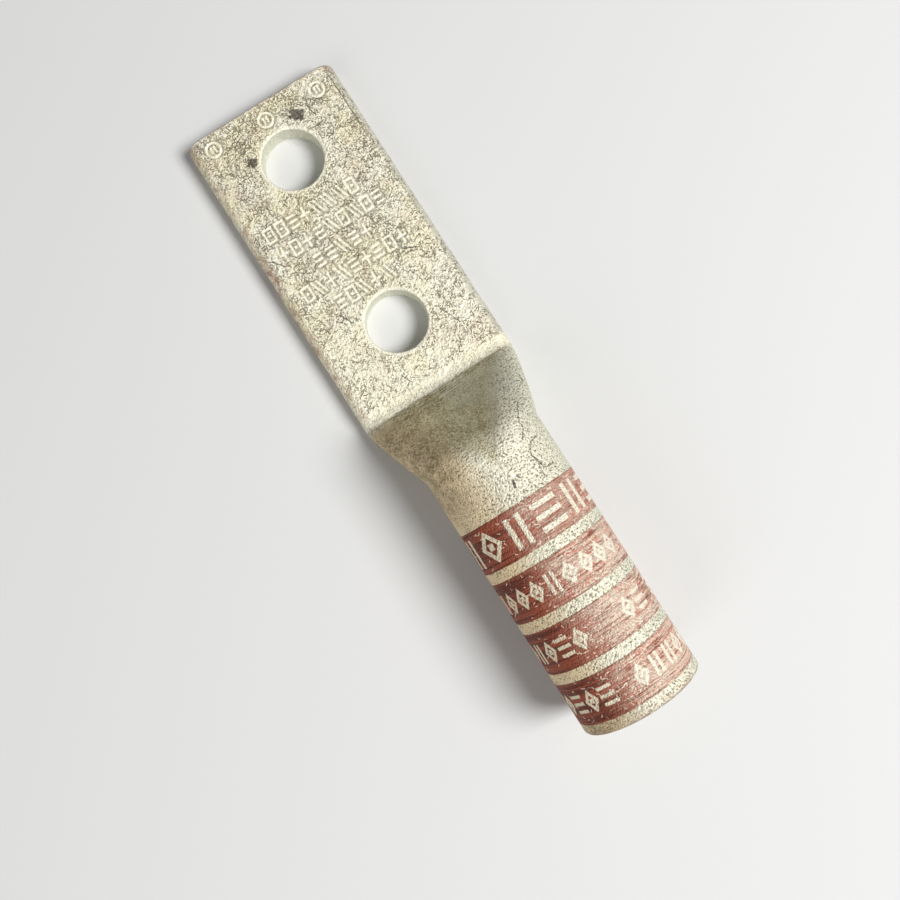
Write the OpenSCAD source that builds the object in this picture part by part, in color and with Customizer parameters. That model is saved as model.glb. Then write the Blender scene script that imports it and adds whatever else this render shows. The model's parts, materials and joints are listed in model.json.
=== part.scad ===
// Two-hole compression terminal lug, pressed from one length of plated copper tube.
// The cable end stays a round barrel, and the other end is flattened into a drilled tongue.
// X runs along the lug towards the barrel's mouth and Z is up.
// The tongue's contact face and the barrel's lowest line lie on Z = 0, under the middle of the length.

/* [Tube] */
// Outside diameter of the barrel
barrel_od = 27.94; // [25:0.02:32]
// Wall of the tube
tube_wall = 2.8; // [2:0.1:3.2]
// Length of the round barrel, up to the mouth
barrel_len = 57.9; // [40:0.1:90]
// Rounding of the barrel's outer edge at the mouth
mouth_round = 0.6; // [0.2:0.1:1.2]
// Lead-in chamfer inside the mouth
bore_lead = 0.5; // [0.2:0.1:1]

/* [Tongue] */
// Length of the flat tongue, up to the foot of the incline
tongue_len = 74.7; // [70:0.1:110]
// Width of the tongue
tongue_w = 38.9; // [34:0.1:46]
// How far the rounding of the tongue's long edges reaches in from each side
edge_round = 2.3; // [0.6:0.1:2.7]
// Rounding of the two corners at the free end, seen from above
corner_round = 1.5; // [0.5:0.1:4]
// Gap that shows at the free end where the two walls are pressed together
seam_gap = 0.2; // [0.1:0.05:0.4]
// Depth of that gap
seam_depth = 1; // [0.5:0.1:3]

/* [Bolt holes] */
// Diameter of the two bolt holes
hole_d = 14.29; // [8:0.01:16]
// Distance between the hole centres
hole_spacing = 44.45; // [25:0.05:48]
// Distance from the free end to the centre of the first hole
end_distance = 15.5; // [12:0.1:18]
// Edge break round both ends of each hole
hole_break = 0.5; // [0.2:0.1:0.9]

/* [Transition] */
// Length of the transition, from the foot of the incline to the round barrel
transition_len = 24.8; // [22:0.1:40]
// Radius of the hollow pressed across the foot of the incline
foot_round = 4.4; // [2:0.1:6]
// Depth of that hollow below the tongue's top face
foot_sink = 0.15; // [0:0.01:0.3]
// Slope at which the hollow breaks into the incline, in degrees
foot_slope = 27; // [10:1:35]
// Rounding where the incline runs out on top of the barrel
shoulder_round = 10; // [4:0.5:12]
// How far the pressed incline is dished in its middle
dish_depth = 0.9; // [0:0.1:1.4]
// Length over which the sides draw in, from the foot of the incline
side_len = 17.5; // [14:0.1:20]
// Bow of the drawn-in sides, where 1 is straight
side_bow = 1.2; // [1:0.05:1.8]

/* [Hidden] */

// The tongue is two walls thick, and the bore is what the tube's wall leaves
tongue_t = 2 * tube_wall;
barrel_r = barrel_od / 2;
bore_r = barrel_r - tube_wall;
barrel_x = tongue_len + transition_len;
total_len = barrel_x + barrel_len;

// Tool overrun of a cut, and how far the flattened skin stays inside the round one where they join
overrun = 1;
seat = 0.03;

// Height of the hollow where the walls start to part
least_hollow = 0.3;

// Largest value of v * (1 - v) ^ 2, which shapes the sag of the incline
sag_peak = 4 / 27;

// Steps along the foot, the incline and the shoulder of the transition
foot_steps = 6;
incline_steps = 10;
shoulder_steps = 8;

// Steps round a quarter of a section, across the top of a section and round a corner of the tongue
arc_steps = 10;
top_steps = 8;
corner_steps = 5;

// Facets of the barrel, of a bolt hole and of the mouth's rounding
barrel_facets = 128;
hole_facets = 96;
edge_facets = 32;

// The hollow at the foot dips from the tongue's top face, then rises to a crease.
// The incline runs straight from the crease until it touches the shoulder's rounding.
foot_dip = acos(1 - foot_sink / foot_round);
foot_low = tongue_len + foot_round * sin(foot_dip);
foot_end = foot_low + foot_round * sin(foot_slope);
foot_end_z = tongue_t - foot_sink + foot_round * (1 - cos(foot_slope));
to_centre = [barrel_x - foot_end, barrel_od - shoulder_round - foot_end_z];
incline = atan2(to_centre.y, to_centre.x) + asin(shoulder_round / norm(to_centre));
shoulder_start = barrel_x - shoulder_round * sin(incline);

// Places of the sections along the transition: round the foot, up the incline, round the shoulder
stations = concat(
    [for (k = [0 : foot_steps])
        foot_low + foot_round * sin(-foot_dip + (foot_slope + foot_dip) * k / foot_steps)],
    [for (k = [1 : incline_steps - 1]) foot_end + (shoulder_start - foot_end) * k / incline_steps],
    [for (k = [shoulder_steps : -1 : 0]) barrel_x - shoulder_round * sin(incline * k / shoulder_steps)]
);

// Share of the way from a start over a length at x, held between 0 and 1
function share(x, start, length) = min(1, max(0, (x - start) / length));

// Height of the top face at x: flat tongue, foot, incline, shoulder, barrel
function top_z(x) =
    x <= tongue_len ? tongue_t
    : x <= foot_end ? tongue_t - foot_sink + foot_round - sqrt(foot_round ^ 2 - (x - foot_low) ^ 2)
    : x <= shoulder_start ? foot_end_z + (x - foot_end) * tan(incline)
    : x <= barrel_x ? barrel_od - shoulder_round + sqrt(shoulder_round ^ 2 - (barrel_x - x) ^ 2)
    : barrel_od;

// Slope of the top face at x, in degrees
function top_slope(x) =
    x <= tongue_len ? 0
    : x <= foot_end ? asin((x - foot_low) / foot_round)
    : x <= shoulder_start ? incline
    : x <= barrel_x ? asin((barrel_x - x) / shoulder_round)
    : 0;

// Width of the section at x: the sides draw in from the tongue to the barrel on a bowed line
function side_w(x) =
    tongue_w + (barrel_od - tongue_w) * share(x, foot_end, side_len) ^ side_bow;

// Half the flat width at x: the pressed face narrows to a point where the barrel is round
function flat_y(x) = max(seat, (tongue_w / 2 - edge_round) * (1 - share(x, tongue_len, transition_len)));

// The pressed face sags most a third of the way from the crease to the barrel
function sag(x) =
    let (v = share(x, foot_end, barrel_x - foot_end))
    dish_depth / sag_peak * v * (1 - v) ^ 2;

// One closed section across the lug, from its lowest right point round over the top.
// It is w wide and h high above z, flat out to y = flat and round beyond, and its top sags by dip.
function section(x, z, w, h, flat, dip) =
    concat(
        [for (k = [0 : 2 * arc_steps])
            let (a = -90 + 90 * k / arc_steps)
            [x, flat + (w / 2 - flat) * cos(a), z + h / 2 * (1 + sin(a))]],
        [for (k = [1 : top_steps - 1])
            let (s = 1 - 2 * k / top_steps)
            [x, flat * s, z + h - dip * (1 - s * s)]],
        [for (k = [0 : 2 * arc_steps])
            let (a = 90 + 90 * k / arc_steps)
            [x, -flat + (w / 2 - flat) * cos(a), z + h / 2 * (1 + sin(a))]]
    );

// Outer section at x, narrower by trim on each side.
// It eases to just inside the barrel so that the two skins join cleanly.
function outer_section(x, trim) =
    let (ease = seat * share(x, tongue_len, transition_len))
    section(x, ease, side_w(x) - 2 * (ease + trim), top_z(x) - 2 * ease, flat_y(x) - trim, sag(x));

// Height of the hollow at x: one wall in from the outer skin, measured square to the incline
function hollow_h(x) = top_z(x) - tube_wall - tube_wall / cos(top_slope(x));

// Inner section at x
function inner_section(x) =
    let (h = hollow_h(x) - 2 * seat)
    let (w = side_w(x) - 2 * (tube_wall + seat))
    let (flat = max(seat, min(flat_y(x), (w - h) / 2)))
    section(x, tube_wall + seat, w, h, flat, sag(x) * min(1, h / tube_wall));

// Joins sections of equal point count, one behind the other, into a closed skin
module skin(sections) {
    count = len(sections[0]);
    last = len(sections) - 1;
    polyhedron(
        points = [for (s = sections) each s],
        faces = concat(
            [[for (k = [0 : count - 1]) k]],
            [for (j = [0 : last - 1], k = [0 : count - 1])
                let (n = (k + 1) % count)
                each [[j * count + k, (j + 1) * count + k, j * count + n],
                      [j * count + n, (j + 1) * count + k, (j + 1) * count + n]]],
            [[for (k = [count - 1 : -1 : 0]) last * count + k]]
        )
    );
}

// Turns a profile of radius and length round the barrel's axis, from the transition to the mouth
module round_barrel() {
    translate([barrel_x, 0, barrel_r])
        rotate([0, 90, 0])
            rotate_extrude($fn = barrel_facets)
                children();
}

// Flattened skin: the tongue with its rounded corners, then the transition up to the barrel
module pressed_skin() {
    corner = [for (k = [0 : corner_steps])
        let (a = 90 * k / corner_steps)
        outer_section(corner_round * (1 - cos(a)), corner_round * (1 - sin(a)))];
    rise = [for (x = stations) outer_section(x, 0)];
    skin(concat(corner, rise, [outer_section(barrel_x + overrun, 0)]));
}

// Inside of the transition: the bore closes down to the line where the walls meet
module pressed_hollow() {
    hollow = [for (x = stations) if (hollow_h(x) > least_hollow) inner_section(x)];
    skin(concat(hollow, [inner_section(barrel_x + overrun)]));
}

// Barrel with its mouth's outer edge rounded
module barrel() {
    round_barrel() {
        square([barrel_r, barrel_len - mouth_round]);
        square([barrel_r - mouth_round, barrel_len]);
        translate([barrel_r - mouth_round, barrel_len - mouth_round])
            circle(mouth_round, $fn = edge_facets);
    }
}

// Bore for the cable, with a lead-in at the mouth
module bore() {
    round_barrel()
        polygon([
            [0, 0],
            [bore_r, 0],
            [bore_r, barrel_len - bore_lead],
            [bore_r + bore_lead, barrel_len],
            [bore_r + bore_lead, barrel_len + overrun],
            [0, barrel_len + overrun]
        ]);
}

// Bolt hole through the tongue, with both rims broken
module bolt_hole() {
    r = hole_d / 2;
    rim = r + hole_break;
    rotate_extrude($fn = hole_facets)
        polygon([
            [0, -overrun],
            [rim, -overrun],
            [rim, 0],
            [r, hole_break],
            [r, tongue_t - hole_break],
            [rim, tongue_t],
            [rim, tongue_t + overrun],
            [0, tongue_t + overrun]
        ]);
}

// Line at the free end where the two walls of the flattened tube meet
module end_seam() {
    seam_w = tongue_w - 2 * tube_wall;
    translate([-overrun, -seam_w / 2, (tongue_t - seam_gap) / 2])
        cube([seam_depth + overrun, seam_w, seam_gap]);
}

module lug_body() {
    color([0.80, 0.79, 0.73])
        translate([-total_len / 2, 0, 0])
            difference() {
                union() {
                    barrel();
                    pressed_skin();
                }
                bore();
                pressed_hollow();
                for (k = [0, 1])
                    translate([end_distance + k * hole_spacing, 0, 0])
                        bolt_hole();
                end_seam();
            }
}

lug_body();
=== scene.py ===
# %% [markdown]
# # A terminal lug, dressed for its portrait
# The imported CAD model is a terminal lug: a copper tube whose one end stays round for a cable and
# whose other end is pressed flat and drilled for two bolts. This lesson keeps that form and gives it
# the skin of the real one: stamped marks, a tinned finish full of pits and scratches, and worn ink.
# The frame is loaded first, because every size below is measured on it.

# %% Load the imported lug
import json
from functools import partialmethod

import bmesh
import bpy
import numpy as np
from mathutils import Matrix, Vector


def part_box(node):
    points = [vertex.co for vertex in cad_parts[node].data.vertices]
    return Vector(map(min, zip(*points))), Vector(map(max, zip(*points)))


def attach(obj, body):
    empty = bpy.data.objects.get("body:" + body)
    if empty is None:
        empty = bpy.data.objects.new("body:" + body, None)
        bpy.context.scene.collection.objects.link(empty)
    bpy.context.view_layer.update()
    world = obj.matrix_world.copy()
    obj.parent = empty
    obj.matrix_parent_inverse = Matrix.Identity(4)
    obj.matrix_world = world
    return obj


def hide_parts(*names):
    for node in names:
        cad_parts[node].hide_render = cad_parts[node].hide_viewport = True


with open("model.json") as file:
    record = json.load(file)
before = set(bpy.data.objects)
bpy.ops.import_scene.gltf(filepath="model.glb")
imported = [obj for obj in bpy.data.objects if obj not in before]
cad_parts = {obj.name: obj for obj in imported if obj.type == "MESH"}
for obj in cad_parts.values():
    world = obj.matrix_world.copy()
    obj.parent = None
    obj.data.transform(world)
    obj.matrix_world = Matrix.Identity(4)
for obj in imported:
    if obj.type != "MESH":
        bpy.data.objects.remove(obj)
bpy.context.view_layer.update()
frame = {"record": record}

# %% [markdown]
# ## Sizes
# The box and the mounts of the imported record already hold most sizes: the length, the tongue's width,
# the barrel's diameter, the bore and the two holes. Only the sizes of the pressed transition and the
# small roundings are written again here. Lengths are millimetres, and x counts from the free end of
# the tongue, because that is where a maker would put the ruler.

# %% Sizes read from the frame
MM = 0.001
low, high = (np.array(corner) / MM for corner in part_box("lug_body"))
mounts = {mount["name"]: mount for mount in frame["record"]["mounts"]}
bolts = mounts["bolt_holes"]

LENGTH, TONGUE_W, BARREL_OD = high - low
BARREL_R = BARREL_OD / 2
BORE_R = mounts["cable_bore"]["dims"]["r_mm"]
WALL = BARREL_R - BORE_R
TONGUE_T = 2 * WALL
HOLE_R = bolts["dims"]["hole_r_mm"]
HOLE_MID = bolts["pos_m"][0] / MM - low[0]
HOLE_X = [HOLE_MID + side * bolts["dims"]["spacing_x_mm"] / 2 for side in (-1, 1)]
print("length %.1f, tongue %.1f x %.1f" % (LENGTH, TONGUE_W, TONGUE_T))
print("barrel %.2f, bore %.2f" % (BARREL_OD, 2 * BORE_R))
print("hole centres from the free end:", np.round(HOLE_X, 2))

# %% Sizes of the pressing
TONGUE_LEN = 74.7
TRANSITION = 24.8
BARREL_X = TONGUE_LEN + TRANSITION
EDGE_REACH = 2.3
TONGUE_FLAT = TONGUE_W / 2 - EDGE_REACH
CORNER_R = 1.5
FOOT_R, FOOT_SINK, FOOT_SLOPE = 4.4, 0.15, np.radians(27)
SHOULDER_R = 10.0
DISH, SAG_PEAK = 0.9, 4 / 27
SIDE_LEN, SIDE_BOW = 17.5, 1.2
MOUTH_ROUND, BORE_LEAD = 0.6, 0.5
END_ROUND = 0.5
HOLE_BREAK = 0.55
SEAM_GAP, SEAM_DEPTH = 0.2, 1.0

FOOT_LOW = TONGUE_LEN + FOOT_R * np.sin(np.arccos(1 - FOOT_SINK / FOOT_R))
FOOT_END = FOOT_LOW + FOOT_R * np.sin(FOOT_SLOPE)
FOOT_END_Z = TONGUE_T - FOOT_SINK + FOOT_R * (1 - np.cos(FOOT_SLOPE))
to_centre = np.array([BARREL_X - FOOT_END, BARREL_OD - SHOULDER_R - FOOT_END_Z])
INCLINE = np.arctan2(to_centre[1], to_centre[0]) + np.arcsin(SHOULDER_R / np.hypot(*to_centre))
SHOULDER_X = BARREL_X - SHOULDER_R * np.sin(INCLINE)
print("crease at %.2f, incline %.1f degrees, shoulder from %.2f to %.2f"
      % (FOOT_END, np.degrees(INCLINE), SHOULDER_X, BARREL_X))

# %% [markdown]
# ## The pressed form as functions of x
# A press turns the round tube into a slab through a dished incline. A modeller could sculpt that, but
# every cross-section here is a simple closed outline: flat below and above, half an ellipse at each
# side. So the whole form is a few functions of x, the same ones that the CAD source uses.


# %% Functions along the lug
def share(x, start, length):
    """How far x has come from start over a length, held between 0 and 1."""
    return np.clip((x - start) / length, 0, 1)


def regions(x):
    """Tests for the tongue, the foot, the incline and the shoulder, in this order."""
    return [x <= TONGUE_LEN, x <= FOOT_END, x <= SHOULDER_X, x <= BARREL_X]


def top_height(x):
    """Height of the top face: tongue, shallow arc at the foot, incline, arc of the shoulder, barrel."""
    foot = TONGUE_T - FOOT_SINK + FOOT_R - np.sqrt(np.maximum(FOOT_R**2 - (x - FOOT_LOW) ** 2, 0))
    slope = FOOT_END_Z + (x - FOOT_END) * np.tan(INCLINE)
    shoulder = BARREL_OD - SHOULDER_R + np.sqrt(np.maximum(SHOULDER_R**2 - (BARREL_X - x) ** 2, 0))
    return np.select(regions(x), [np.full_like(x, TONGUE_T), foot, slope, shoulder], BARREL_OD)


def top_slope(x):
    """Angle of the top face, from the same arcs and line."""
    foot = np.arcsin(np.clip((x - FOOT_LOW) / FOOT_R, -1, 1))
    shoulder = np.arcsin(np.clip((BARREL_X - x) / SHOULDER_R, -1, 1))
    return np.select(regions(x), [np.zeros_like(x), foot, np.full_like(x, INCLINE), shoulder], 0.0)


def width(x):
    """The sides draw in from the tongue to the barrel as a power of the way come."""
    return TONGUE_W + (BARREL_OD - TONGUE_W) * share(x, FOOT_END, SIDE_LEN) ** SIDE_BOW


def flat_half(x):
    """Half the flat of an outline narrows in a straight line, from the tongue to a point on the barrel."""
    return TONGUE_FLAT * (1 - share(x, TONGUE_LEN, TRANSITION))


def sag(x):
    """The incline is dished by v (1 - v)^2, scaled by its peak to DISH, a third of the way up."""
    v = share(x, FOOT_END, BARREL_X - FOOT_END)
    return DISH / SAG_PEAK * v * (1 - v) ** 2


def rounding(distance, radius):
    """How far a rounded edge lies in from its face at a distance from the end: r - sqrt(r^2 - (r - d)^2)."""
    d = np.clip(radius - distance, 0, radius)
    return radius - np.sqrt(np.maximum(radius**2 - d**2, 0))


# %% [markdown]
# ## Outlines and columns
# Each outline is drawn with many points and then read again at chosen shares of its length. On the
# tongue the shares crowd together on the top face, where the stamped marks need a fine mesh. On the
# barrel they are even. In between the shares slide from one to the other, so that the columns of the
# grid flow round the shoulder without bunching up.


# %% Outlines across the lug
SIDE_POINTS, TOP_POINTS = 61, 49


def outlines(x, w, h, base, flat, dip):
    """Closed outlines at each x, from the middle of the base round over the right side and the top.
    Sides: y = flat + (w/2 - flat) cos a and z = base + h/2 (1 + sin a). Top: z sinks by dip (1 - s^2)."""
    w, h, base, flat, dip = (np.broadcast_to(v, x.shape)[:, None] for v in (w, h, base, flat, dip))
    right = np.radians(np.linspace(-90, 90, SIDE_POINTS))[None]
    left = np.radians(np.linspace(90, 270, SIDE_POINTS))[None]
    s = np.linspace(1, -1, TOP_POINTS)[None, 1:-1]
    middle = np.zeros_like(w)
    side = w / 2 - flat
    y = np.hstack([middle, flat + side * np.cos(right), flat * s, -flat + side * np.cos(left), middle])
    z = np.hstack([base, base + h / 2 * (1 + np.sin(right)), base + h - dip * (1 - s * s),
                   base + h / 2 * (1 + np.sin(left)), base])
    return y, z


def read_at(x, outline, shares):
    """Points of each outline at the given shares of its length, as an array of stations, columns and xyz."""
    y, z = outline
    steps = np.hypot(np.diff(y, axis=1), np.diff(z, axis=1))
    along = np.hstack([np.zeros((len(x), 1)), np.cumsum(steps, axis=1)])
    along /= along[:, -1:]
    rows = zip(shares, along, y, z)
    yz = np.array([(np.interp(s, a, row_y), np.interp(s, a, row_z)) for s, a, row_y, row_z in rows])
    across = np.broadcast_to(x[:, None], yz[:, 0].shape)
    return np.stack([across, yz[:, 0], yz[:, 1]], axis=-1)


# %% Columns round the lug
HALF_BASE, EDGE, TOP = 16, 14, 188
COLUMNS = 2 * HALF_BASE + 2 * EDGE + TOP
EDGE_SAMPLES = 200
edge_angle = np.linspace(-np.pi / 2, np.pi / 2, EDGE_SAMPLES)
edge_y, edge_z = EDGE_REACH * np.cos(edge_angle), TONGUE_T / 2 * np.sin(edge_angle)
edge_arc = np.hypot(np.diff(edge_y), np.diff(edge_z)).sum()


def run(start, length, count):
    """Even steps over a length, without its last point."""
    return start + length * np.arange(count) / count


tongue_shares = np.concatenate([
    run(0, TONGUE_FLAT, HALF_BASE),
    run(TONGUE_FLAT, edge_arc, EDGE),
    run(TONGUE_FLAT + edge_arc, 2 * TONGUE_FLAT, TOP),
    run(3 * TONGUE_FLAT + edge_arc, edge_arc, EDGE),
    run(3 * TONGUE_FLAT + 2 * edge_arc, TONGUE_FLAT, HALF_BASE),
]) / (4 * TONGUE_FLAT + 2 * edge_arc)
barrel_shares = np.arange(COLUMNS) / COLUMNS
print("columns:", COLUMNS, "of which on the tongue's top face:", TOP)

# %% [markdown]
# ## Stations along the lug
# The grid needs close stations where something happens: at the rolled free end, under the stamped
# marks, in the hollow at the foot, on the shoulder and at the mouth. Plain stretches get few.

# %% Stations
FINE, PLAIN = 0.20, 0.85
HOLE_PATCH = 8.6
STAMP_START, STAMP_END = 25.7, HOLE_X[1] - HOLE_PATCH
RING_START, RING_END = 1.9, HOLE_X[0] - HOLE_PATCH
FOOT_ZONE, CREASE_ZONE, MOUTH_ZONE = 1, 2, 3
ROUND_STEPS = 8


def stretch(start, stop, step):
    """Even stations from start up to, but not at, stop, about a step apart."""
    return run(start, stop - start, max(1, int(np.ceil((stop - start) / step))))


# Each stretch of the lug has a start and the step between its stations, and ends where the next one starts
STRETCHES = [
    (END_ROUND, 0.14),
    (RING_START, FINE),
    (RING_END, PLAIN),
    (HOLE_X[0] + HOLE_PATCH, PLAIN),
    (STAMP_START, FINE),
    (STAMP_END, PLAIN),
    (HOLE_X[1] + HOLE_PATCH, 0.7),
    (TONGUE_LEN - FOOT_ZONE, 0.25),
    (TONGUE_LEN, 0.22),
    (FOOT_END, 0.25),
    (FOOT_END + CREASE_ZONE, 0.5),
    (SHOULDER_X, 0.4),
    (BARREL_X, 1.6),
    (LENGTH - MOUTH_ZONE, 0.4),
]
stops = [start for start, step in STRETCHES[1:]] + [LENGTH - MOUTH_ROUND]
quarter = np.radians(np.arange(ROUND_STEPS) * 90 / ROUND_STEPS)
stations = np.concatenate([
    END_ROUND * (1 - np.cos(quarter)),
    *(stretch(start, stop, step) for (start, step), stop in zip(STRETCHES, stops)),
    LENGTH - MOUTH_ROUND + MOUTH_ROUND * np.sin(quarter),
    [LENGTH],
])
print("stations:", len(stations))

# %% [markdown]
# ## Stamped marks
# Three small ring stamps stand near the free end and five rows of marks lie between the holes, all
# driven into the metal. A bump map would vanish at the outline and in the exported mesh, so the marks
# are real: their depth is worked out at every grid point of the top face. The rows hold plain boxes,
# crosses, bars and dashes, and each of them is a formula for the distance from its lines.

# %% Sizes of the stamped marks
RING_MARKS = [(3.98, -14.05), (4.40, -0.28), (4.50, 13.47)]
RING_R = 1.72
RING_BAR_OFF, RING_BAR_HALF = 0.42, 0.62
ROW_X = [27.9, 33.3, 38.7, 44.0, 49.3]
ROW_ENDS = [(-15.4, 11.8), (-14.8, 13.9), (-8.7, 8.7), (-15.2, 15.3), (-9.7, 8.7)]
MARK_PITCH, MARK_HIGH, MARK_WIDE = 3.15, 1.62, 0.98
DOT_R = 0.1
BAR_LEAN, BAR_OFF = 0.35, 0.6 * MARK_WIDE
DASH_STEP, DASH_HALF = 0.8 * MARK_HIGH, 0.85 * MARK_WIDE
MARK_SEED = 11
STAMP_STROKE, STAMP_DEPTH = 0.28, 0.32
FAR_OFF = 2.0
print("marks in each row:", [int((last - first) / MARK_PITCH) for first, last in ROW_ENDS])


# %% Depth of the stamped marks
def pinned_box(a, b):
    """Distance from the outline of an upright box or from the dot in its middle."""
    outline = np.abs(np.maximum(np.abs(a) - MARK_HIGH, np.abs(b) - MARK_WIDE))
    return np.minimum(outline, np.hypot(a, b) - DOT_R)


def cross(a, b):
    """Distance from an upright cross."""
    upright = np.maximum(np.abs(b), np.abs(a) - MARK_HIGH)
    return np.minimum(upright, np.maximum(np.abs(a), np.abs(b) - MARK_WIDE))


def twin_bars(a, b):
    """Distance from two slanted bars."""
    lean = np.abs(np.abs(b - BAR_LEAN * a) - BAR_OFF)
    return np.maximum(lean, np.abs(a) - MARK_HIGH)


def stacked_dashes(a, b):
    """Distance from three short dashes, one above the other."""
    rung = np.abs(a - DASH_STEP * np.clip(np.round(a / DASH_STEP), -1, 1))
    return np.maximum(rung, np.abs(b) - DASH_HALF)


MARKS = (pinned_box, cross, twin_bars, stacked_dashes)


def stamp_distance(x, y):
    """Distance from the nearest line of all rings and rows, at points of the top face."""
    nearest = np.full(np.shape(x), FAR_OFF)
    for ring_x, ring_y in RING_MARKS:
        ring = np.abs(np.hypot(x - ring_x, y - ring_y) - RING_R)
        bars = np.maximum(np.abs(np.abs(y - ring_y) - RING_BAR_OFF), np.abs(x - ring_x) - RING_BAR_HALF)
        nearest = np.minimum(nearest, np.minimum(ring, bars))
    picks = np.random.default_rng(MARK_SEED)
    for row_x, (first, last) in zip(ROW_X, ROW_ENDS):
        cells = int((last - first) / MARK_PITCH)
        kinds = picks.integers(0, len(MARKS), cells)
        cell = np.floor((y - first) / MARK_PITCH).astype(int)
        inside = (cell >= 0) & (cell < cells)
        kind = np.where(inside, kinds[np.clip(cell, 0, cells - 1)], len(MARKS))
        a = x - row_x
        b = y - first - (cell + 0.5) * MARK_PITCH
        chosen = [kind == k for k in range(len(MARKS))]
        distances = [mark(a, b) for mark in MARKS]
        nearest = np.minimum(nearest, np.select(chosen, distances, FAR_OFF))
    return np.maximum(nearest, 0)


def stamped_depth(x, y):
    """Soft-sided grooves: deepest on the marks' lines, and out at about two strokes from them."""
    return STAMP_DEPTH * np.exp(-((stamp_distance(x, y) / STAMP_STROKE) ** 2))


# %% [markdown]
# ## Joining patches
# A grid can't have a round hole, a flat end or a change of density by itself. So the lug is a patchwork:
# grids for the skin, turned profiles for the holes, and zips, which are bands of triangles between two
# closed loops with different numbers of points. Points that coincide are merged at the end.

# %% A patchwork of numpy patches
points, quads, triangles = [], [], []


def add_grid(patch, keep=None):
    """A grid of rows and columns whose columns close into a ring. keep marks the cells that become faces."""
    rows, columns, _ = patch.shape
    number = sum(map(len, points)) + np.arange(rows * columns).reshape(rows, columns)
    points.append(patch.reshape(-1, 3))
    following = np.roll(number, -1, axis=1)
    cells = np.stack([number[:-1], following[:-1], following[1:], number[1:]], axis=-1)
    quads.append(cells.reshape(-1, 4) if keep is None else cells[keep])
    return number


def turn_angle(loop, middle, reach):
    """Angle of each point of a loop round its middle, after its two directions are scaled by their reach."""
    across = (loop - middle) / reach
    return np.arctan2(across[:, 1], across[:, 0])


def zip_loops(first, second):
    """Triangles between two closed loops, given as (numbers, angles). Walking round by angle, each step
    along one loop makes a triangle with the point that the other loop has reached."""
    (a, a_angle), (b, b_angle) = ((n[np.argsort(t)], np.sort(t)) for n, t in (first, second))
    b_here = np.searchsorted(b_angle, np.roll(a_angle, -1), side="right") - 1
    a_here = np.searchsorted(a_angle, np.roll(b_angle, -1), side="left") - 1
    triangles.append(np.stack([a, np.roll(a, -1), b[b_here]], axis=1))
    triangles.append(np.stack([np.roll(b, -1), b, a[a_here]], axis=1))


def close_flat(loop):
    """Closes a loop whose second half mirrors its first: strips between them, a triangle at each tip."""
    count = len(loop)
    k = np.arange(1, count // 2 - 1)
    quads.append(np.stack([loop[k], loop[k + 1], loop[-k - 1], loop[-k]], axis=1))
    triangles.append(loop[[[0, 1, -1], [count // 2 - 1, count // 2, count // 2 + 1]]])


# %% The outer skin with its marks
spread = share(stations, FOOT_END, BARREL_X - FOOT_END)[:, None]
spread = spread * spread * (3 - 2 * spread)
shares = tongue_shares * (1 - spread) + barrel_shares * spread
edge_in = rounding(stations, END_ROUND) + rounding(LENGTH - stations, MOUTH_ROUND)
trim = rounding(stations, CORNER_R)
outline = outlines(
    stations,
    width(stations) - 2 * (edge_in + trim),
    top_height(stations) - 2 * edge_in,
    edge_in,
    np.maximum(flat_half(stations) - trim, 0),
    sag(stations),
)
skin = read_at(stations, outline, shares)
on_top = (skin[..., 2] > TONGUE_T - 1e-6) & (skin[..., 0] < TONGUE_LEN)
skin[..., 2] -= np.where(on_top, stamped_depth(skin[..., 0], skin[..., 1]), 0)
print("outer skin:", skin.shape[:2], "deepest stamp %.2f mm" % (TONGUE_T - skin[..., 2][on_top].min()))


# %% Openings in the skin for the bolt holes
def opening(centre, columns):
    """Cells and border of the square of skin that a hole's patch replaces, on one face of the tongue."""
    rows = np.flatnonzero(np.abs(stations - centre) < HOLE_PATCH + 0.01)
    ends = np.full(len(columns), rows[0]), np.full(len(columns), rows[-1])
    border = np.concatenate([
        np.stack([ends[0], columns], 1),
        np.stack([ends[1], columns], 1),
        np.stack([rows, np.full(len(rows), columns[0])], 1),
        np.stack([rows, np.full(len(rows), columns[-1])], 1),
    ])
    return rows, np.unique(border, axis=0)


middle_row = skin[np.argmin(np.abs(stations - HOLE_X[0]))]
order = np.arange(COLUMNS)
near = np.abs(middle_row[:, 1]) < HOLE_PATCH
upper = order[near & (middle_row[:, 2] > WALL)]
lower = order[near & (middle_row[:, 2] < WALL)]
lower = lower[np.argsort(-middle_row[lower, 1])]

keep = np.ones((len(stations) - 1, COLUMNS), bool)
borders = []
for centre in HOLE_X:
    for columns in (upper, lower):
        rows, border = opening(centre, columns)
        first_cells = columns[:-1] if columns is upper else columns[1:]
        keep[np.ix_(rows[:-1], first_cells)] = False
        borders.append(border)
skin_number = add_grid(skin, keep)
print("cells taken out for the holes:", int((~keep).sum()))

# %% [markdown]
# ## Bolt holes
# A punched and deburred hole has a bright rounded rim. Its patch is a profile turned round the hole's
# axis: a flat ring on top, the rim's quarter round, the wall, and the same below.

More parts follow.
